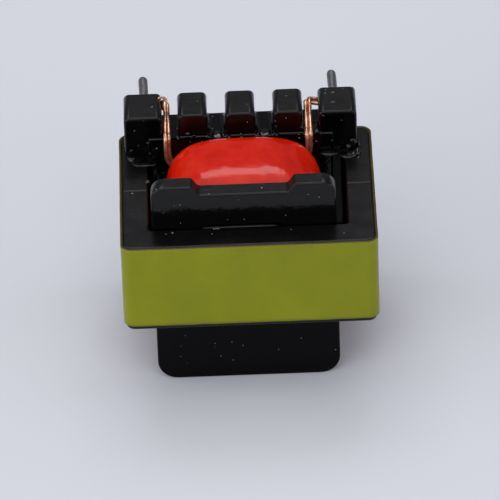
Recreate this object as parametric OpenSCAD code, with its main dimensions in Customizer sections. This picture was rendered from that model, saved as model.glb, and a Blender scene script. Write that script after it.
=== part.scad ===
// Small ferrite-core transformer for a printed circuit board.
// It lies on its side: +Y is the way the pins point, and Y = 0 is the plane of the rail
// feet that the board would touch. X = 0, Z = 0 is the middle of the four pins.

/* [Core] */
// Width of the core across its outer legs
core_w = 13.0; // [12:0.1:15]
// Length of one core half, from yoke to joint
half_len = 5.2; // [4.8:0.05:6.5]
// Height of the core legs
core_h = 5.15; // [4.6:0.05:6]
// Thickness of the yoke that joins the legs
yoke_t = 1.55; // [1.3:0.05:1.9]
// Width of each outer leg
outer_leg_w = 1.33; // [1.1:0.01:1.6]
// Width of the centre leg
centre_leg_w = 2.7; // [2.3:0.05:3]
// Air gap ground into the centre legs
air_gap = 0.1; // [0.02:0.02:0.4]
// Radius of the core's outer corners
core_corner_r = 0.45; // [0.2:0.05:0.8]
// Radius where each leg meets the yoke
window_r = 0.2; // [0.1:0.05:0.25]
// How far the core sits to the right of the bobbin, inside its play
core_shift = 0.22; // [0:0.02:0.26]

/* [Tape round the core] */
// Thickness of the wrapped tape
core_tape_t = 0.15; // [0.05:0.01:0.16]
// Ferrite left bare below the tape
core_tape_rim = 0.28; // [0.1:0.02:0.6]
// Length of the tape's last turn that laps over itself
core_tape_lap = 6.0; // [2:0.5:9]
// Thickness of that lap
core_tape_lap_t = 0.05; // [0.03:0.01:0.06]

/* [Bobbin body] */
// Thickness of the front flange
front_flange_t = 1.0; // [0.7:0.05:1.3]
// Thickness of the rear flange
rear_flange_t = 0.42; // [0.3:0.02:0.6]
// Height of the front flange's ears above the core
ear_rise = 2.55; // [2.2:0.05:3.2]
// Radius of the ears' outer corners
ear_r = 0.7; // [0.3:0.05:1]
// Radius of the front flange's lower corners
flange_foot_r = 1.05; // [0.5:0.05:1.4]
// Depth of the notch between the ears
notch_depth = 0.5; // [0.3:0.05:0.8]
// Width of the notch at its floor
notch_floor_w = 4.6; // [3.5:0.1:5.5]
// Run of each slanted side of the notch
notch_run = 0.36; // [0.1:0.02:0.6]
// Wall of the winding tube
tube_wall = 0.4; // [0.3:0.05:0.5]
// Radius of the tube's outer corners
tube_r = 0.6; // [0.3:0.05:0.8]
// Play beside the centre leg in the tube
bore_play_x = 0.3; // [0.28:0.02:0.4]
// Play above the centre leg in the tube
bore_play_z = 0.1; // [0.05:0.05:0.2]
// Gap from each side of the flanges to the core legs, before the shift
flange_play = 0.39; // [0.3:0.01:0.6]
// Gap between each end of the bobbin and the yoke
end_gap = 0.05; // [0.02:0.01:0.1]

/* [Rails] */
// Distance between neighbouring pin positions
pin_pitch = 2.5; // [2.4:0.05:2.8]
// Distance between the two rows of pins
row_spacing = 9.4; // [9.2:0.1:10.4]
// Height of the upper pins above the core
pin_over_core = 1.12; // [1:0.02:1.4]
// How far the rail feet stand past the core
stand_off = 0.4; // [0.3:0.05:0.8]
// Depth of the rails from their feet to the winding
rail_depth = 2.37; // [2.2:0.01:2.6]
// Height of the towers outside the pin axis
tower_rise = 1.25; // [1.1:0.05:1.5]
// Height of the web above the core
web_rise = 1.02; // [0.7:0.02:1.1]
// Gap between the rails and the core
rail_gap = 0.05; // [0.02:0.01:0.1]
// Width of each middle tower
tower_w = 1.55; // [1.1:0.01:1.6]
// How far the middle towers stand back from the end blocks
tower_setback = 0.12; // [0.05:0.01:0.5]
// End block on the inner side of its pin
block_in = 0.9; // [0.8:0.01:0.95]
// End block on the outer side of its pin
block_out = 1.1; // [0.85:0.01:1.15]
// Radius of the towers' upper corners
tower_r = 0.3; // [0.1:0.05:0.4]
// Depth of the pocket round each pin, for the wrapped lead
pocket_depth = 1.0; // [0.8:0.05:1.1]
// Room between the wrapped lead and its pocket
pocket_room = 0.17; // [0.1:0.01:0.2]
// Rise of the pocket's mouth above the pocket, for the lead that comes in over the pin
mouth_rise = 0.2; // [0.15:0.01:0.25]
// Width of each rib that holds the lower rail's web
rib_w = 0.8; // [0.5:0.1:1.2]
// How far those ribs stop short of the feet
rib_setback = 0.6; // [0.2:0.1:1]

/* [Pins] */
// Radius of the pins' free end
pin_r = 0.25; // [0.2:0.005:0.26]
// Extra radius of the pins' root at its mouth
root_extra = 0.03; // [0.02:0.005:0.05]
// How much slimmer the root gets towards its inner end
root_taper = 0.02; // [0.01:0.005:0.02]
// Length of pin that stands past the feet
pin_len = 3.3; // [2.5:0.1:4.5]
// Length of pin held in the rail
pin_held = 1.2; // [0.9:0.05:1.25]
// Gap between pin and hole
pin_fit = 0.01; // [0.005:0.005:0.02]
// Height of the chamfer on the pin's tip
tip_h = 0.15; // [0.1:0.01:0.3]

/* [Windings] */
// Build of the inner winding beside the tube
inner_build_x = 0.7; // [0.5:0.02:0.76]
// Build of the inner winding above the tube
inner_build_z = 0.2; // [0.15:0.01:0.22]
// Thickness of the tape between the windings
layer_tape_t = 0.08; // [0.05:0.01:0.1]
// Build of the outer winding beside the layer tape
outer_build_x = 0.88; // [0.6:0.02:0.9]
// Build of the outer winding above the layer tape
outer_build_z = 0.54; // [0.3:0.01:0.56]
// Share of the winding space that the outer winding fills
outer_share = 0.7; // [0.5:0.05:0.72]
// Gap between one wound layer and the next
layer_gap = 0.02; // [0.01:0.01:0.03]
// Pitch of the inner winding's turns
inner_pitch = 0.3; // [0.25:0.05:0.5]
// Pitch of the outer winding's turns
outer_pitch = 0.4; // [0.3:0.05:0.6]
// Corner radius of the inner winding
inner_r = 1.65; // [1.6:0.05:1.8]
// Corner radius of the outer winding
outer_r = 2.6; // [2.5:0.05:2.8]
// Width of the groove between two turns, as a share of their pitch
groove_share = 0.2; // [0.1:0.05:0.3]
// Margin from the inner winding to each flange
inner_margin = 0.35; // [0.32:0.01:0.5]

/* [Tape round the winding] */
// Build of the taped winding beside the tube
taped_build_x = 2.18; // [2.15:0.01:2.25]
// Build of the taped winding above the tube
taped_build_z = 1.285; // [1.25:0.005:1.4]
// Thickness of that tape
taped_t = 0.1; // [0.06:0.01:0.11]
// How far the taped winding sits to the right of the tube
taped_shift = 0.06; // [0:0.01:0.08]
// Squareness of the taped section, 2 for an ellipse
taped_square = 3.3; // [2.9:0.1:3.6]
// Share of its size that the taped winding loses at the flanges
shoulder_drop = 0.2; // [0.12:0.01:0.21]
// Sharpness of its shoulders
shoulder_power = 6; // [5:1:8]
// Gap from the tape's edges to the flanges
taped_margin = 0.3; // [0.29:0.01:0.4]

/* [Leads] */
// Diameter of a lead's bundle of wire
lead_d = 0.26; // [0.2:0.01:0.28]
// Gap from the left leads to their end blocks
lead_left_gap = 0.09; // [0.05:0.01:0.3]
// Gap from the right leads to their end blocks
lead_right_gap = 0.41; // [0.05:0.01:0.45]
// How far the left leads loop above their pins' wrapped turns
lead_left_loop = 0.3; // [0.05:0.05:0.4]
// How far the right leads loop above their pins' wrapped turns
lead_right_loop = 0.15; // [0.05:0.05:0.4]
// Radius of the lead wrapped and soldered on its pin
wrap_r = 0.43; // [0.4:0.01:0.45]
// Turns wrapped on each pin
wrap_turns = 3; // [2:1:4]
// Gap between a wrapped lead and the plane of the feet
feet_clear = 0.06; // [0.04:0.02:0.2]
// Gap between a lead and the plastic that it passes
lead_gap = 0.02; // [0.01:0.01:0.05]

/* [Hidden] */
$fn = 64;

LEFT = -1;
RIGHT = 1;
UPPER = 1;
LOWER = -1;
ferrite = "#2e2f33";
plastic = "#1c1c20";

// Core
pin_z = row_spacing/2;
core_top = pin_z - pin_over_core;
core_low = core_top - core_h;
core_mid = (core_top + core_low)/2;
core_back = -stand_off;
core_joint = core_back - half_len;
core_front_y = core_joint - half_len;
window_half = core_w/2 - outer_leg_w;

// Bobbin
flange_face = core_front_y + yoke_t + end_gap;
flange_back = flange_face + front_flange_t;
rear_end = core_back - yoke_t - end_gap;
rear_face = rear_end - rear_flange_t;
flange_half = window_half - flange_play;
flange_low = -(pin_z + tower_rise);
flange_top = core_top + ear_rise;
bore_half_x = centre_leg_w/2 + bore_play_x;
bore_half_z = core_h/2 + bore_play_z;
tube_half_x = bore_half_x + tube_wall;
tube_half_z = bore_half_z + tube_wall;

// Rails
positions = 5;
web_top = core_top + web_rise;
tower_top = pin_z + tower_rise;
last_pin = pin_pitch*(positions - 1)/2;
middle_pins = [for (i = [1:positions - 2]) i*pin_pitch - last_pin];
rail_half = last_pin + block_out;
pocket_r = wrap_r + pocket_room;
root_r = pin_r + root_extra;
root_end = -feet_clear/2;
root_y = -pocket_depth - pin_held;

// Radius of the tapered root at a place along it
function root_at(y) = root_r + root_taper*(y - root_end)/(root_end - root_y);

// Winding space
space_mid = (flange_back + rear_face)/2;
space_half = (rear_face - flange_back)/2;
inner_half = space_half - inner_margin;
taped_half_w = tube_half_x + taped_build_x;
taped_half_h = tube_half_z + taped_build_z;
taped_half_len = space_half - taped_margin;
taped_sides = 48;
taped_steps = 14;
lead_r = lead_d/2;
lead_sides = 8;

// Overrun of a cut past the face it opens
over = 1;

// ---- outlines in the X-Z plane and how they are given depth ----

// Gives an outline drawn in X and Z its depth, from y0 to y1
module along_y(y0, y1) {
    translate([0, y1, 0]) rotate([90, 0, 0]) linear_extrude(y1 - y0) children();
}

// What a rounded corner takes away: the square at the corner less its quarter disc
module corner_cut(x, z, sx, sz, r) {
    difference() {
        translate([x - (sx > 0 ? r : over), z - (sz > 0 ? r : over)]) square(r + over);
        translate([x - sx*r, z - sz*r]) circle(r);
    }
}

// Rectangle with one radius at its upper corners and one at its lower corners
module panel(x0, x1, z0, z1, r_high, r_low) {
    difference() {
        translate([x0, z0]) square([x1 - x0, z1 - z0]);
        if (r_high > 0) {
            corner_cut(x0, z1, -1, 1, r_high);
            corner_cut(x1, z1, 1, 1, r_high);
        }
        if (r_low > 0) {
            corner_cut(x0, z0, -1, -1, r_low);
            corner_cut(x1, z0, 1, -1, r_low);
        }
    }
}

// Rounded rectangle about the middle of the core, by its half sizes
module section(half_x, half_z, r) {
    translate([0, core_mid]) panel(-half_x, half_x, -half_z, half_z, r, r);
}

// ---- core ----

// Plan of one E half: its yoke at y = 0 and its legs along +y
module e_plan() {
    leg_len = half_len - yoke_t;
    gap_inner = window_half - centre_leg_w/2;
    difference() {
        translate([-core_w/2, 0]) square([core_w, half_len]);
        for (s = [LEFT, RIGHT])
            corner_cut(s*core_w/2, 0, s, -1, core_corner_r);
        for (s = [LEFT, RIGHT])
            translate([s*(centre_leg_w + gap_inner)/2, yoke_t]) window_plan(gap_inner, leg_len);
        translate([-centre_leg_w/2 - window_r, half_len - air_gap/2])
            square([centre_leg_w + 2*window_r, air_gap]);
    }
}

// Window between the centre leg and an outer leg, with rounded inner corners
module window_plan(w, len) {
    difference() {
        translate([-w/2, 0]) square([w, len + over]);
        for (s = [LEFT, RIGHT])
            corner_cut(s*w/2, 0, s, -1, window_r);
    }
}

module e_half() {
    linear_extrude(core_h) e_plan();
}

module core_front() {
    color(ferrite) translate([core_shift, core_front_y, core_low]) e_half();
}

module core_rear() {
    color(ferrite) translate([core_shift, core_back, core_low]) mirror([0, 1, 0]) e_half();
}

// Plan of the closed core, grown by a thickness
module core_plan(grow) {
    mid = (core_front_y + core_back)/2;
    translate([core_shift, mid])
        panel(-core_w/2 - grow, core_w/2 + grow, -half_len - grow, half_len + grow,
              core_corner_r + grow, core_corner_r + grow);
}

module core_tape() {
    tape_low = core_low + core_tape_rim;
    color("#7d8128") {
        translate([0, 0, tape_low]) linear_extrude(core_top - tape_low) difference() {
            core_plan(core_tape_t);
            core_plan(0);
        }
        translate([core_shift - core_tape_lap/2, core_back + core_tape_t, tape_low])
            cube([core_tape_lap, core_tape_lap_t, core_top - tape_low]);
    }
}

// ---- bobbin ----

module bore_outline() {
    section(bore_half_x, bore_half_z, 0);
}

// Mouth of the bore, wider where the centre leg rounds into its yoke
module bore_mouth(y) {
    along_y(y - window_r, y + window_r) section(bore_half_x + window_r, bore_half_z, 0);
}

module front_flange() {
    along_y(flange_face, flange_back) difference() {
        panel(-flange_half, flange_half, flange_low, flange_top, ear_r, flange_foot_r);
        translate([0, flange_top]) polygon([
            [-notch_floor_w/2, -notch_depth], [notch_floor_w/2, -notch_depth],
            [notch_floor_w/2 + notch_run, 0], [notch_floor_w/2 + notch_run, over],
            [-notch_floor_w/2 - notch_run, over], [-notch_floor_w/2 - notch_run, 0]]);
        bore_outline();
    }
}

module winding_tube() {
    along_y(flange_back, rear_face) difference() {
        section(tube_half_x, tube_half_z, tube_r);
        bore_outline();
    }
}

module rear_flange() {
    along_y(rear_face, rear_end) difference() {
        panel(-flange_half, flange_half, -web_top, web_top, 0, 0);
        bore_outline();
    }
}

// Puts what is drawn for the right side on the left or the right
module on_side(side) {
    if (side == LEFT) mirror([1, 0, 0]) children();
    else children();
}

// Puts what is drawn for the upper rail on the upper or the lower one
module on_row(row) {
    if (row == LOWER) mirror([0, 0, 1]) children();
    else children();
}

// Block of a rail between its underside and the tower top
module tower(x0, x1, y0, under) {
    along_y(y0, 0) panel(x0, x1, under, tower_top, tower_r, 0);
}

// Pocket round an end pin, with a mouth above the web towards the wire slot beside it
module wrap_pocket() {
    reach = block_in + pocket_room;
    sill = web_top - pin_z;
    along_y(-pocket_depth, over) {
        circle(pocket_r);
        translate([-reach, sill]) square([reach, pocket_r + mouth_rise - sill]);
    }
}

// Hole that holds a pin's root, tapered as the root is
module pin_hole(y0, y1) {
    translate([0, y0, 0]) rotate([-90, 0, 0])
        cylinder(y1 - y0, r1 = root_at(y0) + pin_fit, r2 = root_at(y1) + pin_fit);
}

// Rail drawn as the upper one: a web, two end blocks, the middle towers and, where the end
// blocks reach down past the web to the core, a rib under each tower
module rail(under) {
    web_low = core_top + rail_gap;
    along_y(-rail_depth, 0) panel(-rail_half, rail_half, web_low, web_top, 0, 0);
    for (side = [LEFT, RIGHT])
        on_side(side) tower(last_pin - block_in, last_pin + block_out, -rail_depth, under);
    for (x = middle_pins) {
        tower(x - tower_w/2, x + tower_w/2, tower_setback - rail_depth, web_low);
        if (under < web_low)
            along_y(rear_face, -rib_setback) panel(x - rib_w/2, x + rib_w/2, under, web_low, 0, 0);
    }
}

// Cuts in the upper rail: the end pins' pockets and the hole at every position
module pin_seats() {
    for (side = [LEFT, RIGHT])
        on_side(side) translate([last_pin, 0, pin_z]) {
            wrap_pocket();
            pin_hole(root_y, 0);
        }
    for (x = middle_pins)
        translate([x, 0, pin_z]) pin_hole(-pin_held, over);
}

module bobbin() {
    color(plastic) difference() {
        union() {
            front_flange();
            winding_tube();
            rear_flange();
            rail(core_top + rail_gap);
            on_row(LOWER) rail(rail_gap - core_low);
        }
        bore_mouth(flange_face);
        bore_mouth(rear_end);
        for (row = [UPPER, LOWER])
            on_row(row) pin_seats();
    }
}

// ---- pins ----

// Pin along +y: a thicker, tapered root held in the rail, a straight free end and a chamfered tip
module pin_body() {
    color("#8f8e96") rotate([-90, 0, 0]) rotate_extrude() polygon([
        [0, root_y], [root_at(root_y), root_y], [root_r, root_end], [pin_r, root_end],
        [pin_r, pin_len - tip_h], [pin_r - tip_h, pin_len], [0, pin_len]]);
}

module pin(side, row) {
    translate([side*last_pin, 0, row*pin_z]) pin_body();
}

module pin_upper_left() { pin(LEFT, UPPER); }
module pin_upper_right() { pin(RIGHT, UPPER); }
module pin_lower_left() { pin(LEFT, LOWER); }
module pin_lower_right() { pin(RIGHT, LOWER); }

// ---- windings, from the tube outwards ----

// Half sizes and corner radius of each layer's outside: [half_x, half_z, radius]
function grown(layer, x, z, r) = [layer[0] + x, layer[1] + z, layer[2] + r];
on_tube = grown([tube_half_x, tube_half_z, tube_r], layer_gap, layer_gap, layer_gap);
inner_out = [on_tube[0] + inner_build_x, on_tube[1] + inner_build_z, inner_r];
under_layer = grown(inner_out, layer_gap, layer_gap, layer_gap);
layer_out = grown(under_layer, layer_tape_t, layer_tape_t, layer_tape_t);
under_outer = grown(layer_out, layer_gap, layer_gap, layer_gap);
outer_out = [under_outer[0] + outer_build_x, under_outer[1] + outer_build_z, outer_r];

// Closed band round the tube between two layers, to both sides of the middle
module band(inside, outside, half) {
    along_y(space_mid - half, space_mid + half) difference() {
        section(outside[0], outside[1], outside[2]);
        section(inside[0], inside[1], inside[2]);
    }
}

// Band of wire whose turns stand proud of the grooves between them
module wound_band(inside, outside, half, pitch) {
    turns = floor(2*half/pitch);
    groove = pitch*groove_share;
    floor_of_groove = grown(outside, -groove, -groove, -groove);
    difference() {
        band(inside, outside, half);
        for (i = [1:turns - 1])
            translate([0, (i - turns/2)*pitch, 0]) difference() {
                along_y(space_mid - groove/2, space_mid + groove/2)
                    section(outside[0] + over, outside[1] + over, outside[2]);
                along_y(space_mid - groove, space_mid + groove)
                    section(floor_of_groove[0], floor_of_groove[1], floor_of_groove[2]);
            }
    }
}

module inner_winding() {
    color("#b5713f") wound_band(on_tube, inner_out, inner_half, inner_pitch);
}

module layer_tape() {
    color("#c9b458") band(under_layer, layer_out, inner_half);
}

module outer_winding() {
    color("#b5713f") wound_band(under_outer, outer_out, space_half*outer_share, outer_pitch);
}

// ---- tape round the winding ----

// Share of its full size that the taped winding has at a place t from -1 to 1 along it
function fullness(t) = 1 - shoulder_drop*pow(abs(t), shoulder_power);

// Point of the taped section at an angle: a rounded square between an ellipse and a box
function taped_point(a, half_w, half_h, y) = [
    taped_shift + half_w*sign(cos(a))*pow(abs(cos(a)), 2/taped_square),
    y,
    core_mid + half_h*sign(sin(a))*pow(abs(sin(a)), 2/taped_square)];

function taped_ring(t, inset) = [for (i = [0:taped_sides - 1])
    taped_point(360*(i + 0.5)/taped_sides, (taped_half_w - inset)*fullness(t),
                (taped_half_h - inset)*fullness(t), space_mid + t*taped_half_len)];

module winding_tape() {
    n = taped_sides;
    k = taped_steps;
    places = [for (j = [0:k]) -cos(180*j/k)];
    // Rings run out along the outside and back along the inside, and close on the first
    rings = concat([for (t = places) taped_ring(t, 0)],
                   [for (j = [0:k]) taped_ring(places[k - j], taped_t)]);
    count = len(rings);
    color("#c32a1c") polyhedron(
        points = [for (ring = rings) each ring],
        faces = [for (j = [0:count - 1], i = [0:n - 1])
            let (a = j*n, b = ((j + 1)%count)*n, m = (i + 1)%n) [a + i, b + i, b + m, a + m]],
        convexity = 6);
}

// ---- leads ----

// Route of the upper lead on the right: out of the winding, up the rear flange, over the web
// beside the end block, up in a loop and through the pocket's mouth onto its wrapped turns
function lead_route(x, mid, loop) = let (
    y_flange = rear_face - lead_r - lead_gap,
    z_web = web_top + lead_r + lead_gap,
    z_end = pin_z + wrap_r + lead_r + lead_gap,
    y_wrap = -pocket_depth/2) [
    [inner_out[0] - lead_r, y_flange, mid + 0.2*taped_half_h],
    [inner_out[0] + 0.4, y_flange, mid + 0.37*taped_half_h],
    [x - 0.1, y_flange, mid + 0.55*taped_half_h],
    [x, y_flange, web_top - 0.5],
    [x, y_flange, web_top + 0.04],
    [x, rear_face - 0.05, z_web + 0.02],
    [x, rear_face + 0.35, z_web + 0.06],
    [x, y_wrap - 0.72, z_end + loop - 0.2],
    [x, y_wrap - 0.4, z_end + loop - 0.03],
    [x, y_wrap - 0.15, z_end + loop],
    [x, y_wrap + 0.06, z_end + loop/2],
    [x + 0.05, y_wrap + 0.1, z_end],
    [last_pin - block_in + 0.1, y_wrap + 0.05, z_end],
    [last_pin - wrap_r/2, y_wrap, z_end]];

// Eight-sided tube along a route, square to it at each point
module swept(route) {
    n = lead_sides;
    last = len(route) - 1;
    function unit(v) = v/norm(v);
    function heading(i) = unit(route[min(i + 1, last)] - route[max(i - 1, 0)]);
    function across(i, ref) = unit(ref - (ref*heading(i))*heading(i));
    function sides(i, ref) = i > last ? [] :
        let (u = across(i, ref), v = cross(heading(i), u))
        concat([[for (k = [0:n - 1]) route[i] + lead_r*(u*cos(360*k/n) + v*sin(360*k/n))]],
               sides(i + 1, u));
    polyhedron(
        points = [for (ring = sides(0, [0.3, 1, 0.2])) each ring],
        faces = concat(
            [[for (k = [0:n - 1]) k]],
            [for (i = [0:last - 1], k = [0:n - 1]) let (m = (k + 1)%n)
                [i*n + k, (i + 1)*n + k, (i + 1)*n + m, i*n + m]],
            [[for (k = [n - 1:-1:0]) last*n + k]]),
        convexity = 6);
}

module lead(side, row) {
    gap = side == LEFT ? lead_left_gap : lead_right_gap;
    loop = side == LEFT ? lead_left_loop : lead_right_loop;
    x = last_pin - block_in - gap - lead_r;
    color("#c98a64") on_side(side) on_row(row) swept(lead_route(x, row*core_mid, loop));
}

module lead_upper_left() { lead(LEFT, UPPER); }
module lead_upper_right() { lead(RIGHT, UPPER); }
module lead_lower_left() { lead(LEFT, LOWER); }
module lead_lower_right() { lead(RIGHT, LOWER); }

// ---- soldered ends ----

// The wrapped turns under their solder: one bead of the profile for each turn, over solder
// that gets thicker towards the feet
module solder(side, row) {
    y0 = lead_gap - pocket_depth;
    y1 = -feet_clear;
    turn = (y1 - y0)/wrap_turns;
    color("#a9a8ad") translate([side*last_pin, 0, row*pin_z]) rotate([-90, 0, 0])
        difference() {
            union() {
                translate([0, 0, y0]) cylinder(y1 - y0, r1 = wrap_r - turn/3, r2 = wrap_r - turn/5);
                for (i = [0:wrap_turns - 1])
                    translate([0, 0, y0 + turn*(i + 0.5)]) rotate_extrude()
                        translate([wrap_r - turn/2, 0]) circle(turn/2);
            }
            translate([0, 0, y0 - over]) cylinder(y1 - y0 + 2*over, r = root_r + pin_fit);
        }
}

module solder_upper_left() { solder(LEFT, UPPER); }
module solder_upper_right() { solder(RIGHT, UPPER); }
module solder_lower_left() { solder(LEFT, LOWER); }
module solder_lower_right() { solder(RIGHT, LOWER); }

core_front();
core_rear();
core_tape();
bobbin();
pin_upper_left();
pin_upper_right();
pin_lower_left();
pin_lower_right();
inner_winding();
layer_tape();
outer_winding();
winding_tape();
lead_upper_left();
lead_upper_right();
lead_lower_left();
lead_lower_right();
solder_upper_left();
solder_upper_right();
solder_lower_left();
solder_lower_right();
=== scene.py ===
from math import cos, pi, radians, sin, tan

import bpy
import numpy as np
from mathutils import Matrix, Vector


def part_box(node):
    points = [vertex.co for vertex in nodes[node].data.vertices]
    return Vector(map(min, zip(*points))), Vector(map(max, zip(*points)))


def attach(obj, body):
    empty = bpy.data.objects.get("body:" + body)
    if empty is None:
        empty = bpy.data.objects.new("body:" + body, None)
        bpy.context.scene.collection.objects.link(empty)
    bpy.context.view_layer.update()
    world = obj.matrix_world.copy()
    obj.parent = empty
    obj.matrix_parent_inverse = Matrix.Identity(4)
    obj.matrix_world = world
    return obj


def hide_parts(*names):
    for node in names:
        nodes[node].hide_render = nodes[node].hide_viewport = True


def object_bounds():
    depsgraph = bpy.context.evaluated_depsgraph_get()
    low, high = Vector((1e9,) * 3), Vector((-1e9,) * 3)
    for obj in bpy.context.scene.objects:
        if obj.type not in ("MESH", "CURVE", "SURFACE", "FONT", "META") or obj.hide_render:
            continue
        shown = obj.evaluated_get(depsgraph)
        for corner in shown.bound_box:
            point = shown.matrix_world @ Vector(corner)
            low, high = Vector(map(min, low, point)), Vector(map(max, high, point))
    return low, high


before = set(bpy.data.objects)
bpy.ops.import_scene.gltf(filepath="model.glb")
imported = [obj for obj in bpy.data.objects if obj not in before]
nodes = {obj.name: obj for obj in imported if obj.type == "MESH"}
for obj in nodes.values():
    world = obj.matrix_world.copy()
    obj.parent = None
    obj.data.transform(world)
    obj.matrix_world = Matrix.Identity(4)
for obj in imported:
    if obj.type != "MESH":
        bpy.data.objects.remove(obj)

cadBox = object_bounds()
mm = 0.001  # the frame is in metres, and every size below is in millimetres


# Lowest and highest corner of a CAD node in millimetres: its box in metres divided by 0.001
def nodeBox(name):
    low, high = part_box(name)
    return np.array(low) / mm, np.array(high) / mm


flangeFront = nodeBox("bobbin")[0][1]  # outer face of the front flange
tapedLow, tapedHigh = nodeBox("winding_tape")
bandLow, bandHigh = nodeBox("core_tape")
coreTop = nodeBox("core_front")[1][2]
floorZ = cadBox[0][2] / mm
webTop = 4.6  # top of the rail between its towers
rearFace = -2.42  # faces of the towers towards the winding


# Mesh from a grid of points (rows, columns, 3) in millimetres. Corner (i, j) joins its
# neighbours (i, j+1), (i+1, j+1) and (i+1, j). closedRows and closedColumns join the last
# row or column to the first, capped closes each end row with one face, and flip turns all.
def gridMesh(name, grid, closedRows=False, closedColumns=True, capped=True, flip=False):
    rows, columns = grid.shape[:2]
    rowSpan = rows if closedRows else rows - 1
    columnSpan = columns if closedColumns else columns - 1
    i, j = np.meshgrid(np.arange(rowSpan), np.arange(columnSpan), indexing="ij")
    nextI, nextJ = (i + 1) % rows, (j + 1) % columns
    here, there = i * columns, nextI * columns
    quads = np.stack([here + j, here + nextJ, there + nextJ, there + j], -1)
    faces = quads.reshape(-1, 4).tolist()
    if capped and not closedRows:
        faces += [np.arange(columns)[::-1].tolist(), ((rows - 1) * columns + np.arange(columns)).tolist()]
    if flip:
        faces = [f[::-1] for f in faces]
    return meshFrom(name, grid.reshape(-1, 3) * mm, faces)


# Smooth-shaded mesh from points in metres and faces as lists of point numbers
def meshFrom(name, points, faces):
    mesh = bpy.data.meshes.new(name)
    mesh.from_pydata(points.tolist(), [], faces)
    mesh.polygons.foreach_set("use_smooth", np.ones(len(mesh.polygons), bool))
    mesh.update()
    return mesh


# Object that holds a mesh, at the origin, riding on the one body, with its material,
# and with the CAD nodes that it stands for hidden
def addPiece(name, mesh, material, stands=()):
    piece = bpy.data.objects.new(name, mesh)
    bpy.context.scene.collection.objects.link(piece)
    mesh.materials.append(material)
    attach(piece, "root")
    if stands:
        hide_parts(*stands)


# Several meshes as one: their points one after another, with each face's numbers moved on
def joinMeshes(name, meshes):
    points, faces, start = [], [], 0
    for mesh in meshes:
        co = np.empty(len(mesh.vertices) * 3)
        mesh.vertices.foreach_get("co", co)
        points.append(co.reshape(-1, 3))
        faces += [[start + v for v in p.vertices] for p in mesh.polygons]
        start += len(mesh.vertices)
    return meshFrom(name, np.concatenate(points), faces)


# Turns a closed mesh's faces outwards: the sum over faces of centre . normal times area / 3 is
# its volume, which is negative when they face inwards
def faceOut(mesh):
    count = len(mesh.polygons)
    centre, normal, area = np.empty(count * 3), np.empty(count * 3), np.empty(count)
    mesh.polygons.foreach_get("center", centre)
    mesh.polygons.foreach_get("normal", normal)
    mesh.polygons.foreach_get("area", area)
    middle = centre.reshape(-1, 3).mean(0)
    volume = (((centre.reshape(-1, 3) - middle) * normal.reshape(-1, 3)).sum(1) * area).sum() / 3
    if volume < 0:
        mesh.flip_normals()


# Smooth curve through points, as many places as asked: a Catmull-Rom spline, in which each
# stretch is a cubic whose slope at a point is half the step between its neighbours
def smoothPath(points, count):
    p = np.array(points, float)
    p = np.concatenate([[2 * p[0] - p[1]], p, [2 * p[-1] - p[-2]]])
    at = np.linspace(0, len(points) - 1 - 1e-9, count)
    k, t = at.astype(int), (at % 1)[:, None]
    a, b, c, d = p[k], p[k + 1], p[k + 2], p[k + 3]
    square, cube = 2 * a - 5 * b + 4 * c - d, 3 * b - a - 3 * c + d
    return 0.5 * (2 * b + (c - a) * t + square * t ** 2 + cube * t ** 3)


# Two directions square to a path at each place: a fixed guide less its part along the path,
# and the cross product of the path's direction with that
def pathFrame(path, guide):
    along = np.gradient(path, axis=0)
    along /= np.linalg.norm(along, axis=1, keepdims=True)
    side = guide - (along @ guide)[:, None] * along
    side /= np.linalg.norm(side, axis=1, keepdims=True)
    return side, np.cross(along, side)


# Tube grid along a path: centre + radius (side cos a + up sin a) for a from 0 to a full turn
def tubeGrid(path, radius, sides, guide=(0.3, 1, 0.2)):
    side, up = pathFrame(path, np.array(guide, float))
    a = np.linspace(0, 2 * pi, sides, endpoint=False)[None, :, None]
    r = np.broadcast_to(radius, len(path))[:, None, None]
    return path[:, None] + r * (side[:, None] * np.cos(a) + up[:, None] * np.sin(a))


# Soft random surface: a sum of sine waves in three directions, each half as high and about
# twice as fine as the one before, from a seeded list of directions and phases
def waves(points, size, seed, layers=4):
    rng = np.random.default_rng(seed)
    total = np.zeros(points.shape[:-1])
    for layer in range(layers):
        way = rng.normal(size=(3, 3))
        way /= np.linalg.norm(way, axis=1, keepdims=True)
        phase = rng.uniform(0, 2 * pi, 3)
        turns = points @ way.T * 2 * pi / (size * 0.53 ** layer)
        total += np.sin(turns + phase).sum(-1) / 3 * 0.5 ** layer
    return total


# Linear colour of an sRGB hex value: each channel over 255, then ((c + 0.055) / 1.055)^2.4
# above 0.04045 and c / 12.92 below
def linear(hexValue):
    c = np.array([int(hexValue[i:i + 2], 16) for i in (1, 3, 5)]) / 255
    lin = np.where(c > 0.04045, ((c + 0.055) / 1.055) ** 2.4, c / 12.92)
    return (*[float(x) for x in lin], 1.0)


# Adds a node: its type, its settings, its fixed inputs, and its links given as input: output
def addNode(tree, kind, settings=None, inputs=None, links=None):
    node = tree.nodes.new(kind)
    for key, value in (settings or {}).items():
        setattr(node, key, value)
    for key, value in (inputs or {}).items():
        node.inputs[key].default_value = value
    for key, output in (links or {}).items():
        tree.links.new(output, node.inputs[key])
    return node


# Empty material with its tree, its Principled shader and object coordinates in millimetres
def newMaterial(name, fixed):
    material = bpy.data.materials.new(name)
    material.use_nodes = True
    tree = material.node_tree
    shader = tree.nodes["Principled BSDF"]
    for key, value in fixed.items():
        shader.inputs[key].default_value = value
    place = addNode(tree, "ShaderNodeTexCoord")
    scaled = addNode(tree, "ShaderNodeMapping", inputs={"Scale": (1 / mm, 1 / mm, 1 / mm)},
                     links={"Vector": place.outputs["Object"]})
    return material, tree, shader, scaled.outputs["Vector"]


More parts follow.
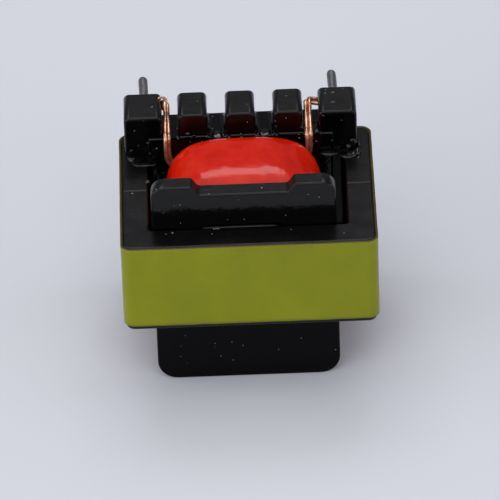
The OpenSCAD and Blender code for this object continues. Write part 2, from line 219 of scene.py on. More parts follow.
# Soft noise from 0 to 1 whose largest blots are as wide as the size in millimetres
def addNoise(tree, vector, size, detail, roughness=0.5):
    noise = addNode(tree, "ShaderNodeTexNoise",
                    inputs={"Scale": 1 / size, "Detail": detail, "Roughness": roughness},
                    links={"Vector": vector})
    return noise.outputs["Fac"]


# Colour ramp between hex colours, each at its own place from 0 to 1
def addRamp(tree, value, stops):
    node = addNode(tree, "ShaderNodeValToRGB", links={"Fac": value})
    ramp = node.color_ramp
    while len(ramp.elements) < len(stops):
        ramp.elements.new(0.5)
    for element, (place, colour) in zip(ramp.elements, stops):
        element.position = place
        element.color = linear(colour)
    return node.outputs["Color"]


# A value moved from one range to another, evenly
def addRange(tree, value, low, high):
    node = addNode(tree, "ShaderNodeMapRange", inputs={"To Min": low, "To Max": high},
                   links={"Value": value})
    return node.outputs["Result"]


# A soft step from low at a start to high at an end, which may lie below the start
def addStep(tree, value, start, end, low=0.0, high=1.0):
    node = addNode(tree, "ShaderNodeMapRange", {"interpolation_type": "SMOOTHSTEP"},
                   {"From Min": start, "From Max": end, "To Min": low, "To Max": high}, {"Value": value})
    return node.outputs["Result"]


# A node that works on two values at once, such as their product or the larger of them
def addMath(tree, operation, first, second):
    node = addNode(tree, "ShaderNodeMath", {"operation": operation}, links={0: first, 1: second})
    return node.outputs[0]


# One colour laid over another where the factor is 1
def addCover(tree, factor, under, cover):
    node = addNode(tree, "ShaderNodeMix", {"data_type": "RGBA"}, {"B": linear(cover)},
                   {"Factor": factor, "A": under})
    return node.outputs["Result"]


# Joins a colour and a roughness to the shader, and a height as a bump of a depth in millimetres
def finishSurface(tree, shader, colour, roughness, height=None, share=0.0, depth=0.0):
    tree.links.new(colour, shader.inputs["Base Color"])
    tree.links.new(roughness, shader.inputs["Roughness"])
    if height:
        bump = addNode(tree, "ShaderNodeBump", inputs={"Strength": share, "Distance": depth * mm},
                       links={"Height": height})
        tree.links.new(bump.outputs["Normal"], shader.inputs["Normal"])


# Pale dust over a colour: a grain sits in a few of the cells of a Voronoi pattern, where the
# distance from the cell's centre is under the grain's radius, a random 0.35 to 1 of the largest
def addDust(tree, vector, under, look):
    largest = look["dustRadius"] / look["dustSpacing"]
    cells = addNode(tree, "ShaderNodeTexVoronoi", inputs={"Scale": 1 / look["dustSpacing"]},
                    links={"Vector": vector})
    apart = addNode(tree, "ShaderNodeSeparateColor", links={"Color": cells.outputs["Color"]})
    chosen = addNode(tree, "ShaderNodeMath", {"operation": "LESS_THAN"}, {1: look["dustShare"]},
                     {0: apart.outputs["Red"]})
    size = addRange(tree, apart.outputs["Green"], 0.35 * largest, largest)
    inside = addMath(tree, "LESS_THAN", cells.outputs["Distance"], size)
    both = addMath(tree, "MULTIPLY", chosen.outputs[0], inside)
    return addCover(tree, both, under, look["dust"])


ferriteLook = dict(colour="#060607", grain="#0b0b0d", dust="#8a8a8e", ior=1.38, grainSize=0.09,
                   cloudSize=1.25, smoothest=0.17, roughest=0.35, bumpShare=0.6, bumpDepth=0.003,
                   dustSpacing=0.34, dustRadius=0.055, dustShare=0.09)


# Manganese-zinc ferrite, pressed, fired and tumbled: a dense dark-grey ceramic with a fine
# grain and a soft, broad sheen; the surface scatters a little more in some grains than others
def makeFerrite():
    look = ferriteLook
    material, tree, shader, vector = newMaterial("firedFerrite", {"IOR": look["ior"]})
    grain = addNoise(tree, vector, look["grainSize"], 4, 0.6)
    cloud = addNoise(tree, vector, look["cloudSize"], 3)
    tone = addRamp(tree, grain, [(0.35, look["colour"]), (0.7, look["grain"])])
    dusty = addDust(tree, vector, tone, look)
    rough = addRange(tree, cloud, look["smoothest"], look["roughest"])
    finishSurface(tree, shader, dusty, rough, grain, look["bumpShare"], look["bumpDepth"])
    return material


plasticLook = dict(dull="#070708", worn="#0d0d0f", wet="#040405", dust="#85858b", dullRoughness=0.29,
                   wetRoughness=0.12, hazeSize=1 / 1.4, rippleSize=0.8, rippleShare=0.5, rippleDepth=0.05,
                   dustSpacing=0.3, dustRadius=0.045, dustShare=0.24)
# Where the finish changes, in soft steps: past railStart the rail is wet up to near its towers'
# tops, before flangeStart the front flange is wet below flangeDry, and low down, below
# underEnd, all of the moulding reflects less
plasticZones = dict(railStart=-2.7, railEnd=-2.5, towerStart=5.84, towerEnd=5.68, flangeStart=-6.0,
                    flangeEnd=-6.4, flangeDry=5.5, flangeWet=5.2, underStart=0.5, underEnd=2.5, underIor=1.2,
                    ior=1.35)


# Glass-filled phenolic moulding: a dull near-black skin, and on the rail and on the front
# flange a wet-looking clear varnish that has run and set, which hides it; pale dust on all.
# Wetness is the larger of two products, each of a soft step along Y and one along Z.
def makePhenolic():
    look, zone = plasticLook, plasticZones
    material, tree, shader, vector = newMaterial("varnishedPhenolic", {})
    haze = addNoise(tree, vector, look["hazeSize"], 5)
    ripple = addNoise(tree, vector, look["rippleSize"], 3)
    apart = addNode(tree, "ShaderNodeSeparateXYZ", links={"Vector": vector})
    y, z = apart.outputs["Y"], apart.outputs["Z"]
    rail = addMath(tree, "MULTIPLY", addStep(tree, y, zone["railStart"], zone["railEnd"]),
                   addStep(tree, z, zone["towerStart"], zone["towerEnd"]))
    flange = addMath(tree, "MULTIPLY", addStep(tree, y, zone["flangeStart"], zone["flangeEnd"]),
                     addStep(tree, z, zone["flangeDry"], zone["flangeWet"]))
    wetness = addMath(tree, "MAXIMUM", rail, flange)
    bend = addStep(tree, z, zone["underStart"], zone["underEnd"], zone["underIor"], zone["ior"])
    tree.links.new(bend, shader.inputs["IOR"])
    tone = addRamp(tree, haze, [(0.4, look["dull"]), (0.75, look["worn"])])
    varnished = addCover(tree, wetness, tone, look["wet"])
    dusty = addDust(tree, vector, varnished, look)
    rough = addRange(tree, wetness, look["dullRoughness"], look["wetRoughness"])
    finishSurface(tree, shader, dusty, rough, ripple, look["rippleShare"], look["rippleDepth"])
    return material


redLook = dict(colour="#cd1b05", pale="#d42c12", dark="#b91403", smoothest=0.09, roughest=0.24,
               streakSize=1.1, coat=0.0, ior=1.41)
yellowLook = dict(colour="#7f8400", pale="#868a02", dark="#7a7e00", smoothest=0.25, roughest=0.4,
                  streakSize=2.5, coat=0.0, ior=1.36, edge="#453c22", edgeStart=coreTop - 0.09,
                  edgeEnd=coreTop - 0.02)
amberLook = dict(colour="#c9a93c", pale="#d6bb5c", dark="#b08f28", smoothest=0.25, roughest=0.4,
                 streakSize=2.0, coat=0.1, ior=1.5)


# Polyester film tape over its adhesive: saturated colour from the dyed film, a smooth gloss,
# and slightly paler, duller streaks where air is trapped below it. An edge colour is where
# varnish has soaked into the cut edge, and comes in along Z from edgeStart to edgeEnd.
def makeFilm(name, look):
    material, tree, shader, vector = newMaterial(name, {"IOR": look["ior"], "Coat Weight": look["coat"],
                                                        "Coat Roughness": 0.06})
    cloud = addNoise(tree, vector, look["streakSize"], 5, 0.6)
    skin = addRamp(tree, cloud, [(0.3, look["dark"]), (0.5, look["colour"]), (0.75, look["pale"])])
    if "edge" in look:
        apart = addNode(tree, "ShaderNodeSeparateXYZ", links={"Vector": vector})
        soaked = addStep(tree, apart.outputs["Z"], look["edgeStart"], look["edgeEnd"])
        skin = addCover(tree, soaked, skin, look["edge"])
    finishSurface(tree, shader, skin, addRange(tree, cloud, look["smoothest"], look["roughest"]))
    return material


copperLook = dict(colour="#c98a68", pale="#f0c0a4", smoothest=0.2, roughest=0.38, cloudSize=1 / 3,
                  metal=0.85, coat=0.4, coatRoughness=0.15)


# Enamelled copper wire: warm metal seen through a thin clear enamel, with a soft gloss and
# slightly browner stretches where the varnish dip ran
def makeCopper():
    look = copperLook
    material, tree, shader, vector = newMaterial("enamelledCopper", {
        "Metallic": look["metal"], "Coat Weight": look["coat"], "Coat Roughness": look["coatRoughness"]})
    cloud = addNoise(tree, vector, look["cloudSize"], 3)
    tone = addRamp(tree, cloud, [(0.35, look["colour"]), (0.65, look["pale"])])
    finishSurface(tree, shader, tone, addRange(tree, cloud, look["smoothest"], look["roughest"]))
    return material


pinLook = dict(colour="#87858d", spot="#5a5860", smoothest=0.35, roughest=0.57)
solderLook = dict(colour="#b4b3b8", spot="#8b8a90", smoothest=0.2, roughest=0.42)
tinGrain = dict(size=1 / 9, bumpShare=0.4, bumpDepth=0.01)


# Dip-soldered tin over the pin's steel or the wrapped wire: a dull grey metal with a fine
# frosted grain and darker spots of flux
def makeTin(name, look):
    material, tree, shader, vector = newMaterial(name, {"Metallic": 1.0})
    grain = addNoise(tree, vector, tinGrain["size"], 4, 0.65)
    tone = addRamp(tree, grain, [(0.32, look["spot"]), (0.55, look["colour"])])
    rough = addRange(tree, grain, look["smoothest"], look["roughest"])
    finishSurface(tree, shader, tone, rough, grain, tinGrain["bumpShare"], tinGrain["bumpDepth"])
    return material


# Clear varnish in a thick drop or run over black: a deep black, almost mirror-smooth gloss
def makeVarnishGloss():
    fixed = {"IOR": 1.5, "Roughness": 0.08, "Base Color": linear("#050506")}
    return newMaterial("setVarnish", fixed)[0]


ferrite = makeFerrite()
phenolic = makePhenolic()
varnish = makeVarnishGloss()
redFilm = makeFilm("redPolyesterFilm", redLook)
yellowFilm = makeFilm("yellowPolyesterFilm", yellowLook)
amberFilm = makeFilm("amberPolyesterFilm", amberLook)
copper = makeCopper()
pinTin = makeTin("tinnedPin", pinLook)
solderTin = makeTin("dippedSolder", solderLook)
print("materials made")


cadEdges = dict(bobbin=0.11, core_front=0.09, core_rear=0.09, merge=0.0005, flat=1.5, angle=38, steps=3)


# Rounds a CAD piece's sharp edges: its loose triangles are merged and its flat faces made
# whole, then each edge that turns by more than the angle is rounded to a radius in millimetres
def softenEdges(name, radius):
    piece = nodes[name]
    weld = piece.modifiers.new("merge", "WELD")
    weld.merge_threshold = cadEdges["merge"] * mm
    flat = piece.modifiers.new("flats", "DECIMATE")
    flat.decimate_type = "DISSOLVE"
    flat.angle_limit = radians(cadEdges["flat"])
    bevel = piece.modifiers.new("edges", "BEVEL")
    bevel.width = radius * mm
    bevel.segments = cadEdges["steps"]
    bevel.limit_method = "ANGLE"
    bevel.angle_limit = radians(cadEdges["angle"])
    bevel.use_clamp_overlap = False
    bevel.harden_normals = True


# Gives a CAD piece that is carried over its one material
def dress(name, material):
    piece = nodes[name]
    piece.data.materials.clear()
    piece.data.materials.append(material)


for name in ("core_front", "core_rear"):
    dress(name, ferrite)
    softenEdges(name, cadEdges[name])
dress("bobbin", phenolic)
softenEdges("bobbin", cadEdges["bobbin"])
for name in ("inner_winding", "outer_winding"):
    dress(name, copper)
dress("layer_tape", amberFilm)
print("core, bobbin and inner layers dressed")


redTape = dict(square=3.3, drop=0.2, frontPower=3.8, rearPower=6, steps=120, sides=360, thickness=0.1,
               wrinkle=0.026, wrinkleSize=0.7, wrinkleAlong=0.35, edgeWrinkle=0.015, edgeSize=0.55,
               edgeAlong=0.2, edgePower=8)


# Share of its full size at a place t from -1 at the front to 1: 1 - drop |t|^power, with a
# lower power and so a softer shoulder at the front
def fullness(t):
    power = np.where(t < 0, redTape["frontPower"], redTape["rearPower"])
    return 1 - redTape["drop"] * np.abs(t) ** power


# Rounded-square band: at angle a the point is half width times |cos a|^(2/square) and half
# height times |sin a|^(2/square), both times the fullness. The small wrinkles of hand-wound
# film are added outwards, and others at its two edges; Y counts for a share, wrinkleAlong or
# edgeAlong, so that they are long across the tape.
def redTapeGrid(inset):
    look = redTape
    halfW = (tapedHigh[0] - tapedLow[0]) / 2 - inset - look["wrinkle"]
    halfH = (tapedHigh[2] - tapedLow[2]) / 2 - inset - look["wrinkle"]
    middle = (tapedHigh + tapedLow) / 2
    t = -np.cos(np.linspace(0, pi, look["steps"]))[:, None]
    a = np.linspace(0, 2 * pi, look["sides"], endpoint=False)[None]
    x = np.sign(np.cos(a)) * np.abs(np.cos(a)) ** (2 / look["square"]) * halfW * fullness(t)
    z = np.sign(np.sin(a)) * np.abs(np.sin(a)) ** (2 / look["square"]) * halfH * fullness(t)
    y = middle[1] + t * (tapedHigh[1] - tapedLow[1]) / 2 + 0 * a
    grid = np.stack([middle[0] + x, y, middle[2] + z], -1)
    out = np.stack([x / halfW ** 2, 0 * y, z / halfH ** 2], -1)
    out /= np.linalg.norm(out, axis=-1, keepdims=True)
    broad = waves(grid * np.array([1, look["wrinkleAlong"], 1]), look["wrinkleSize"], 5)
    fine = waves(grid * np.array([1, look["edgeAlong"], 1]), look["edgeSize"], 8)
    height = look["wrinkle"] * 0.5 * broad + look["edgeWrinkle"] * np.abs(t) ** look["edgePower"] * fine
    return grid + out * np.minimum(height, look["wrinkle"])[..., None]


# Red tape: its outer face and an inner face one thickness below, joined at both edges
def makeRedTape():
    outside = redTapeGrid(0)
    inside = redTapeGrid(redTape["thickness"])[::-1]
    mesh = gridMesh("winding_wrap", np.concatenate([outside, inside]), closedRows=True, flip=True)
    addPiece("winding_wrap", mesh, redFilm, ["winding_tape"])


makeRedTape()
print("red tape wound")


coreBand = dict(corner=0.6, thickness=0.12, lap=0.05, perSide=90, perCorner=14, rows=24, press=0.012,
                pressSize=2.2, edgeWave=0.015, edgeSize=3.0)


# Outline of a rectangle with round corners, in the X-Y plane: straight sides with quarter
# circles between them, all as one closed row of points with their outward directions
def roundedOutline(low, high, radius, perSide, perCorner):
    cx = np.array([high[0] - radius, low[0] + radius, low[0] + radius, high[0] - radius])
    cy = np.array([high[1] - radius, high[1] - radius, low[1] + radius, low[1] + radius])
    a = np.linspace(0, pi / 2, perCorner)[None] + (np.arange(4) * pi / 2)[:, None]
    out = np.stack([np.cos(a), np.sin(a)], -1)
    arcs = np.stack([cx, cy], -1)[:, None] + radius * out
    ends = np.roll(arcs[:, 0], -1, axis=0)
    t = np.linspace(0, 1, perSide + 2)[1:-1][None, :, None]
    sides = arcs[:, -1:] * (1 - t) + ends[:, None] * t
    sideOut = np.broadcast_to(out[:, -1:], sides.shape)
    points = np.concatenate([arcs, sides], 1).reshape(-1, 2)
    outward = np.concatenate([out, sideOut], 1).reshape(-1, 2)
    return points, outward


# Band of film: the rounded outline repeated at each height, pushed in by a small soft wave
# where it lies closer, with its upper and lower edges a little wavy
def coreBandGrid(inset):
    look = coreBand
    low = bandLow[:2] + inset
    high = bandHigh[:2] - np.array([0, look["lap"]]) - inset
    outline, outward = roundedOutline(low, high, look["corner"] - inset, look["perSide"], look["perCorner"])
    z = np.linspace(bandLow[2], bandHigh[2], look["rows"])
    points = np.concatenate([np.broadcast_to(outline, (len(z), *outline.shape)),
                             np.broadcast_to(z[:, None, None], (len(z), len(outline), 1))], -1)
    out = np.concatenate([outward, np.zeros((len(outward), 1))], -1)[None]
    press = look["press"] * (0.5 * waves(points, look["pressSize"], 11) - 0.6)
    edge = look["edgeWave"] * (waves(points * np.array([1, 1, 0]), look["edgeSize"], 12) - 1.2)
    squeeze = (z - z.mean())[:, None] / (z[-1] - z.mean())
    moved = points + out * np.minimum(press, 0)[..., None]
    moved[..., 2] += squeeze * np.minimum(edge, 0)
    return moved


# Yellow tape: its outer face and an inner face one thickness below, joined at both edges
def makeCoreBand():
    outside = coreBandGrid(0)
    inside = coreBandGrid(coreBand["thickness"])[::-1]
    mesh = gridMesh("core_band", np.concatenate([outside, inside]), closedRows=True)
    addPiece("core_band", mesh, yellowFilm, ["core_tape"])


makeCoreBand()
print("yellow tape wound")


leadWire = dict(strand=0.11, sides=12, places=220, offFlange=0.2, wrapTop=5.28, tailPlaces=40, tailRoot=0.8,
                tailTip=0.45)
# Each lead's side and row, where it climbs, the height of its loop, how its strands turn in
# radians, and the free tail of one of them
leads = {
    "lead_upper_left": dict(side=-1, row=1, x=3.86, loop=0.34, turn=(0.1, 1.3), tail=[
        (-3.95, -0.75, 5.6), (-3.86, -0.52, 5.78), (-3.95, -0.5, 5.95), (-4.14, -0.5, 6.0),
        (-4.26, -0.52, 5.92)]),
    "lead_upper_right": dict(side=1, row=1, x=3.56, loop=0.16, turn=(0.9, -0.5)),
    "lead_lower_left": dict(side=-1, row=-1, x=3.86, loop=0.3, turn=(-0.6, 0.4)),
    "lead_lower_right": dict(side=1, row=-1, x=3.56, loop=0.2, turn=(0.5, -0.6)),
}


# Route of a lead for the upper right, then mirrored to its own side and row: out of the
# winding, up the rear flange, over the web and in a loop onto its wrapped turns
def leadRoute(lead):
    middle = (tapedHigh[2] + tapedLow[2]) / 2 * lead["row"]
    half = (tapedHigh[2] - tapedLow[2]) / 2
    x = lead["x"]
    flangeY = rearFace - leadWire["offFlange"]
    top = leadWire["wrapTop"] + lead["loop"]
    points = np.array([
        [2.64, flangeY, middle + 0.2 * half], [3.17, flangeY, middle + 0.37 * half],
        [x - 0.1, flangeY, middle + 0.55 * half], [x, flangeY, 3.98], [x, flangeY, 4.55],
        [x, rearFace - 0.06, 4.78], [x, rearFace + 0.35, 4.84], [x, -1.3, 5.02], [x, -0.95, top - 0.12],
        [x + 0.01, -0.62, top], [x + 0.06, -0.42, top - 0.04], [4.16, -0.4, 5.3], [4.6, -0.5, 5.25]])
    return points * np.array([lead["side"], 1, lead["row"]])


# Two strands laid side by side round a route: each lies a strand's radius from the centre
# line, at an angle that turns from one value to another along the way. A tail gets thinner
# evenly from its root to its tip.
def makeLead(name, lead):
    look = leadWire
    wire = name.replace("lead", "wire")
    path = smoothPath(leadRoute(lead), look["places"])
    step = np.linalg.norm(np.diff(path, axis=0), axis=1)
    run = np.concatenate([[0], np.cumsum(step)])
    side, up = pathFrame(path, np.array([1.0, 0.1, 0.2]))
    low, high = lead["turn"]
    tubes = []
    for k in range(2):
        turn = (low + (high - low) * run / run[-1] + pi * k)[:, None]
        centre = path + (side * np.cos(turn) + up * np.sin(turn)) * look["strand"]
        tubes.append(gridMesh("strand", tubeGrid(centre, look["strand"], look["sides"])))
    if "tail" in lead:
        tail = smoothPath(lead["tail"], look["tailPlaces"])
        taper = look["strand"] * np.linspace(look["tailRoot"], look["tailTip"], look["tailPlaces"])
        tubes.append(gridMesh("tail", tubeGrid(tail, taper, look["sides"])))
    addPiece(wire, joinMeshes(wire, tubes), copper, [name])
    print(name, "runs", round(float(run[-1]), 2), "mm")


for name, lead in leads.items():
    makeLead(name, lead)


# Set drops of varnish, each with its middle and half sizes in millimetres
varnishDrops = [
    # the left end block's face, and the slot beside it
    (-5.52, -2.43, 5.22, 0.08, 0.04, 0.08), (-4.87, -2.43, 4.43, 0.1, 0.05, 0.07),
    (-5.75, -2.43, 3.95, 0.1, 0.06, 0.12), (-3.3, -2.3, 5.2, 0.06, 0.1, 0.09),
    (-3.28, -2.36, 4.63, 0.12, 0.16, 0.08),
    # the middle towers' faces and feet, and the web's edge between them
    (-2.76, -2.33, 4.84, 0.14, 0.07, 0.1), (-2.45, -2.33, 4.72, 0.09, 0.04, 0.05),
    (-1.25, -2.12, 4.57, 0.32, 0.36, 0.1), (-0.62, -2.3, 4.58, 0.13, 0.2, 0.08),
    (0.05, -2.32, 4.56, 0.13, 0.18, 0.08), (1.25, -2.12, 4.57, 0.34, 0.36, 0.1),
    (1.84, -2.3, 5.42, 0.07, 0.09, 0.1), (1.86, -2.3, 5.05, 0.07, 0.08, 0.12),
    (1.9, -2.34, 4.62, 0.12, 0.14, 0.09),
    # the slot at the right lead, and the right end block's face
    (3.2, -2.36, 5.0, 0.08, 0.06, 0.1), (3.98, -2.4, 4.72, 0.15, 0.12, 0.13),
    (4.2, -2.42, 4.62, 0.1, 0.07, 0.1), (4.34, -2.43, 5.72, 0.09, 0.05, 0.08),
    (4.77, -2.43, 4.12, 0.09, 0.04, 0.09), (5.3, -2.43, 5.4, 0.06, 0.03, 0.05),
    # the tops of the end blocks and of a middle tower
    (4.93, -0.55, 5.94, 0.15, 0.12, 0.05), (4.9, -1.48, 5.94, 0.17, 0.09, 0.05),
    (-4.6, -1.2, 5.94, 0.12, 0.16, 0.03), (-2.2, -0.9, 5.94, 0.1, 0.08, 0.03),
    # lumps on the core, at the left end block's foot and away from it
    (-5.75, -2.5, 3.56, 0.3, 0.35, 0.16), (-4.95, -4.75, 3.55, 0.16, 0.14, 0.1),
    # the lump at the right end block's foot, and its spatter
    (5.85, -2.46, 3.98, 0.2, 0.14, 0.3), (5.62, -2.46, 3.72, 0.16, 0.16, 0.2),
    (6.05, -2.7, 3.6, 0.2, 0.4, 0.22), (5.75, -2.85, 3.56, 0.3, 0.34, 0.16),
    (5.84, -3.12, 3.58, 0.11, 0.12, 0.11), (6.1, -3.28, 3.57, 0.11, 0.11, 0.09),
    (6.16, -2.3, 3.7, 0.1, 0.2, 0.2), (4.6, -2.6, 3.54, 0.5, 0.4, 0.14),
]
# Flat pools on the core at the end blocks' feet, in the same form
varnishPools = [(-5.1, -2.72, 3.58, 0.62, 0.6, 0.07), (5.62, -2.7, 3.58, 0.45, 0.5, 0.07)]
varnishFlow = dict(rows=30, sides=44, lump=0.1, lumpSize=1.6, roundPower=2, poolPower=5, flange=0.045,
                   flangeFrom=-2.2, flangeTo=1.75, valley=0.22, valleyFrom=-2.3, valleyTo=-0.08,
                   swell=0.3, swellSize=1.3)
slots = [(-1.725, -0.775), (0.775, 1.725)]  # sides of the slots between the middle towers


# A drop: the directions of a ball divided by the root of the sum of |part|^power, which is an
# ellipsoid at 2 and squarer above, with a radius of 1 + lump times a soft random wave
def dropGrid(x, y, z, rx, ry, rz, seed, power):
    look = varnishFlow
    t = np.linspace(0.04, pi - 0.04, look["rows"])[:, None]
    a = np.linspace(0, 2 * pi, look["sides"], endpoint=False)[None]
    ball = np.stack([np.sin(t) * np.cos(a), np.sin(t) * np.sin(a), np.cos(t) + 0 * a], -1)
    ball = ball / (np.abs(ball) ** power).sum(-1, keepdims=True) ** (1 / power)
    ball = ball * (1 + look["lump"] * waves(ball, look["lumpSize"], seed)[..., None])
    return np.array([x, y, z]) + ball * np.array([rx, ry, rz])


# A hollow fillet along a line from one end to the other: between two faces that meet there,
# its section is the corner less a quarter circle, with legs as long as the radius and its
# ends sunk in the faces; the radius swells softly and falls to a fifth at both ends
def filletGrid(start, end, legA, legB, radius, seed, rows=60):
    t = np.linspace(0, 1, rows)[:, None, None]
    line = np.array(start) * (1 - t) + np.array(end) * t
    legA, legB = np.array(legA, float), np.array(legB, float)
    a = np.linspace(0, pi / 2, 12)[None, :, None]
    arc = legA * (1 - np.sin(a)) + legB * (1 - np.cos(a))
    first, last = legA * 1.3 - legB * 0.05, legB * 1.3 - legA * 0.05
    corner = (legA + legB) * -0.15
    section = np.concatenate([first[None, None], arc, last[None, None], corner[None, None]], 1)
    size = radius * (1 + varnishFlow["swell"] * waves(line, varnishFlow["swellSize"], seed)[..., None])
    size = size * np.clip(np.minimum(t, 1 - t) * 10 + 0.2, 0, 1)
    return line + section * size


# All the varnish as one piece: drops, pools, a thin run where the front flange's outer face
# meets the core's top, and a fillet along the web on each side of the two middle slots
def makeVarnish():
    look = varnishFlow
    up, left, right, towardsFront = (0, 0, 1), (-1, 0, 0), (1, 0, 0), (0, -1, 0)
    drops = [dropGrid(*drop, 50 + k, look["roundPower"]) for k, drop in enumerate(varnishDrops)]
    drops += [dropGrid(*pool, 20 + k, look["poolPower"]) for k, pool in enumerate(varnishPools)]
    start, end = (look["flangeFrom"], flangeFront, coreTop), (look["flangeTo"], flangeFront, coreTop)
    runs = [filletGrid(start, end, towardsFront, up, look["flange"], 97, 120)]
    sides = [(x, leg) for low, high in slots for x, leg in ((low, right), (high, left))]
    for k, (x, leg) in enumerate(sides):
        start, end = (x, look["valleyFrom"], webTop), (x, look["valleyTo"], webTop)
        runs.append(filletGrid(start, end, leg, up, look["valley"], 90 + k))
    meshes = [gridMesh("drop", grid, flip=True) for grid in drops]
    meshes += [gridMesh("run", grid) for grid in runs]
    for mesh in meshes:
        faceOut(mesh)
    addPiece("varnish_runs", joinMeshes("varnish_runs", meshes), varnish)


makeVarnish()
print("varnish set")


pinForm = dict(radius=0.25, root=0.28, rootEnd=-0.03, tip=0.28, lean=-0.025, rows=60, tipRows=14, sides=32,
               coat=0.02, coatSize=1.7)
solderForm = dict(turns=3, rows=90, sides=48, ridge=0.055, skin=0.012, grit=0.01, gritSize=0.6, endSlope=7)
joints = {"upper_left": (-1, 1), "upper_right": (1, 1), "lower_left": (-1, -1), "lower_right": (1, -1)}


# Pin as a turned shape: radius against length along Y, rounded over at the tip by a quarter
# ellipse, with the dip-solder's skin making it a little uneven. Past the feet its middle moves
# along X by lean for each millimetre.
def makePin(name, seed):
    look = pinForm
    low, high = nodeBox(name)
    middle = (low + high) / 2
    shoulder = high[1] - look["tip"]
    tipY = shoulder + look["tip"] * np.sin(np.linspace(0.08, pi / 2 - 0.02, look["tipRows"]))
    y = np.concatenate([[low[1], low[1] + 0.001], np.linspace(low[1] + 0.01, shoulder, look["rows"]), tipY])
    a = np.linspace(0, 2 * pi, look["sides"], endpoint=False)
    over = np.clip((y - shoulder) / look["tip"], 0, 1)
    radius = np.where(y < look["rootEnd"], look["root"], look["radius"]) * np.sqrt(1 - over ** 2)
    zero = 0 * y[:, None]
    points = np.stack([np.cos(a)[None] + zero, y[:, None] + 0 * a, np.sin(a)[None] + zero], -1)
    swell = waves(points * np.array([1, 1.2, 1]), look["coatSize"], seed)
    uneven = 1 - look["coat"] * (1 + swell) * (over[:, None] < 1)
    grid = points.copy()
    lean = look["lean"] * np.maximum(y, 0)[:, None]
    grid[..., 0] = middle[0] + np.cos(a) * radius[:, None] * uneven + lean
    grid[..., 2] = middle[2] + np.sin(a) * radius[:, None] * uneven
    addPiece(name.replace("pin_", "post_"), gridMesh(name, grid, flip=True), pinTin, [name])


# Wrapped turns under solder: a sleeve round the pin whose radius swells once for each turn,
# along a helix whose hand is 1 or -1, and falls in a rounded shoulder onto the pin at both ends
def makeSolder(name, hand, seed):
    look = solderForm
    low, high = nodeBox("solder_" + name)
    middle = (low + high) / 2
    outer = (high[0] - low[0]) / 2
    t = np.linspace(0, 1, look["rows"])[:, None]
    a = np.linspace(0, 2 * pi, look["sides"], endpoint=False)[None]
    swell = np.cos(2 * pi * look["turns"] * t - hand * a + 1.0)
    ends = np.clip(np.minimum(t, 1 - t) * look["endSlope"], 0, 1) ** 0.5
    base = outer - look["ridge"] - look["skin"]
    radius = pinForm["root"] + (base + look["ridge"] * swell - pinForm["root"]) * ends
    y = low[1] + (high[1] - low[1]) * t + 0 * a
    grid = np.stack([radius * np.cos(a), y, radius * np.sin(a)], -1)
    radius = radius + look["grit"] * waves(grid, look["gritSize"], seed) * ends
    radius = np.minimum(radius, outer)
    grid = np.stack([middle[0] + radius * np.cos(a), y, middle[2] + radius * np.sin(a)], -1)
    sleeve = gridMesh("joint_" + name, grid, flip=True)
    addPiece("joint_" + name, sleeve, solderTin, ["solder_" + name])


for seed, (name, (side, row)) in enumerate(joints.items()):
    makePin("pin_" + name, 20 + seed)
    makeSolder(name, side * row, 30 + seed)
print("pins and soldered turns made")


stageLook = dict(floor="#d3d5de", floorRoughness=0.9, floorHalf=2000.0, world=0.18, worldTint="#e9ebf6",
                 reach=600, lampsRound=(0, -6, 0))
# Softboxes on a sphere round the part: azimuth from the rear towards the right, elevation,
# angular width and height in degrees, and radiance
softboxes = {
    "rearBox": (-4, 56, 36, 22, 2.45),
    "topBox": (330, 84, 76, 64, 0.8),
    "frontTopBox": (180, 50, 36, 26, 2.1),
    "leftFrontBox": (225, 22, 42, 27, 2.75),
    "rightFrontBox": (135, 22, 40, 26, 1.4),
    "leftBox": (272, 22, 40, 26, 1.95),
    "rightBox": (88, 22, 40, 26, 1.3),
}
cameraPlace = dict(target=(0.252, -7.756, 1.08), distance=338.2, elevation=35.0, azimuth=-0.149, roll=2.073,
                   lens=468.0, sensor=36, nearest=10)


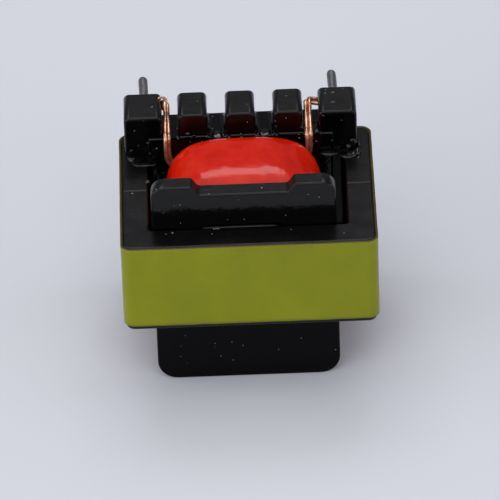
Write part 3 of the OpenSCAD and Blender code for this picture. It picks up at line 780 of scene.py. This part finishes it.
# Camera on a sphere round its target: azimuth and elevation give the way back to it, and the
# roll turns its right and up directions about that
def makeCamera():
    look = cameraPlace
    e, a, r = radians(look["elevation"]), radians(look["azimuth"]), radians(look["roll"])
    back = np.array([sin(a) * cos(e), -cos(a) * cos(e), sin(e)])
    right = np.array([cos(a), sin(a), 0.0])
    up = np.cross(back, right)
    right, up = right * cos(r) - up * sin(r), right * sin(r) + up * cos(r)
    camera = bpy.data.objects.new("camera", bpy.data.cameras.new("camera"))
    bpy.context.scene.collection.objects.link(camera)
    camera.data.lens = look["lens"]
    camera.data.sensor_width = look["sensor"]
    camera.data.clip_start = look["nearest"] * mm
    place = (np.array(look["target"]) + back * look["distance"]) * mm
    camera.matrix_world = Matrix([[right[i], up[i], back[i], place[i]] for i in range(3)] + [[0, 0, 0, 1]])
    bpy.context.scene.camera = camera


# Pale matt floor, wide enough to fill every view
def makeFloor():
    look = stageLook
    half = look["floorHalf"]
    grid = np.array([[[x, y, floorZ] for x in (-half, half)] for y in (-half, half)])
    mesh = gridMesh("floor", grid, closedColumns=False, capped=False)
    floor = bpy.data.objects.new("floor", mesh)
    bpy.context.scene.collection.objects.link(floor)
    fixed = {"Roughness": look["floorRoughness"], "Base Color": linear(look["floor"])}
    mesh.materials.append(newMaterial("palePaper", fixed)[0])


# Area lamp that fills a patch of the sphere: its sides are 2 reach tan(angle / 2), and its
# power is pi times its area times its radiance
def addSoftbox(name, azimuth, elevation, width, height, radiance):
    reach = stageLook["reach"] * mm
    a, e = radians(azimuth), radians(elevation)
    lamp = bpy.data.lights.new(name, "AREA")
    lamp.shape = "RECTANGLE"
    lamp.size = 2 * reach * tan(radians(width / 2))
    lamp.size_y = 2 * reach * tan(radians(height / 2))
    lamp.energy = pi * lamp.size * lamp.size_y * radiance
    holder = bpy.data.objects.new(name, lamp)
    bpy.context.scene.collection.objects.link(holder)
    away = Vector((sin(a) * cos(e), cos(a) * cos(e), sin(e)))
    holder.location = away * reach + Vector(stageLook["lampsRound"]) * mm
    holder.rotation_euler = away.to_track_quat("Z", "Y").to_euler()
    holder.visible_camera = False


# A dim even surround, and the softboxes in it
def makeLight():
    look = stageLook
    world = bpy.data.worlds.new("tent")
    bpy.context.scene.world = world
    world.use_nodes = True
    backdrop = world.node_tree.nodes["Background"]
    backdrop.inputs["Color"].default_value = linear(look["worldTint"])
    backdrop.inputs["Strength"].default_value = look["world"]
    for name, box in softboxes.items():
        addSoftbox(name, *box)


bpy.context.scene.view_settings.view_transform = "Standard"
makeCamera()
makeFloor()
makeLight()
print("stage set")
